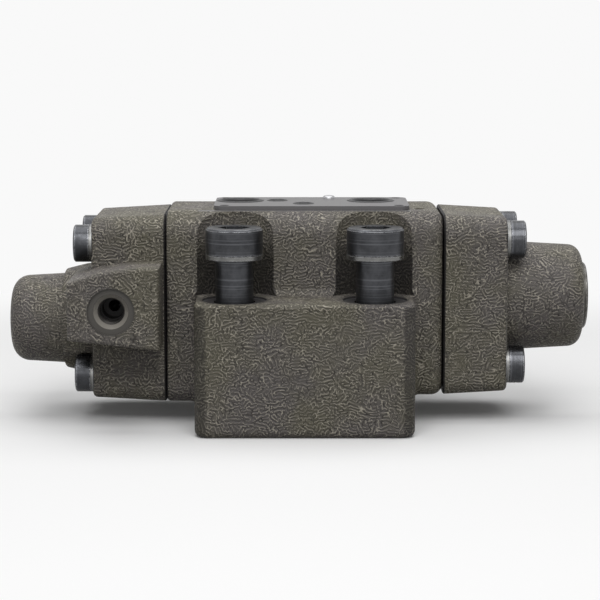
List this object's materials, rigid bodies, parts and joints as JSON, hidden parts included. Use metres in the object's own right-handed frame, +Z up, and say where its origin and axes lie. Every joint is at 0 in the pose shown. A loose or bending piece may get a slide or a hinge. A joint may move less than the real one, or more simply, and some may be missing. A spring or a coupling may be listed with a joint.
{
  "type": "hydraulic valve",
  "caption": "Main stage of a pilot operated hydraulic directional valve: cast body on a foot, bolted end caps, sprung spool and mounting screws.",
  "frame": {"origin": "centre of the foot's underside, where the valve seats on its subplate", "axes": "+X along the spool towards the spring cap, -Y towards the side with the threaded pilot port, +Z up"},
  "size_m": [0.2509, 0.12, 0.0945],
  "materials": {
    "cast_body": "rough sand casting with a wormy skin, machined pads",
    "cast_caps": "rough sand casting with a wormy skin",
    "screws": "blackened and oiled, turned heads",
    "washers": "blackened steel with bright edges",
    "machined_steel": "ground and hardened",
    "spring_steel": "oiled spring wire",
    "plug_steel": "dark turned steel",
    "brass_insert": "turned",
    "seals": "matt nitrile rubber"
  },
  "bodies": {
    "housing": {"valve_body": "cast_body", "pilot_end_cap": "cast_caps", "spring_end_cap": "cast_caps", "stroke_stop": "machined_steel", "return_spring": "spring_steel", "spring_end_plug": "plug_steel", "end_plug_seal": "seals", "pilot_cap_seal": "seals", "spring_cap_seal": "seals", "pilot_cap_screws": "screws", "pilot_cap_lock_washers": "washers", "spring_cap_screws": "screws", "spring_cap_lock_washers": "washers", "mounting_screws": "screws", "mounting_lock_washers": "washers", "top_port_seals": "seals", "pilot_port_seals": "seals", "base_port_seals": "seals", "pilot_orifice": "brass_insert", "pad_locating_pin": "machined_steel", "gallery_plug": "screws"},
    "spool": {"main_spool": "machined_steel", "pilot_piston": "machined_steel", "piston_seal": "seals", "spring_seat": "machined_steel"}
  },
  "joints": [
    {"name": "spool_shift", "type": "slide", "parent": "housing", "child": "spool", "axis": [1, 0, 0], "range_m": [0, 0.008], "stiffness_N_per_m": 3000, "springref_m": -0.01, "deforming": ["return_spring"]}
  ]
}
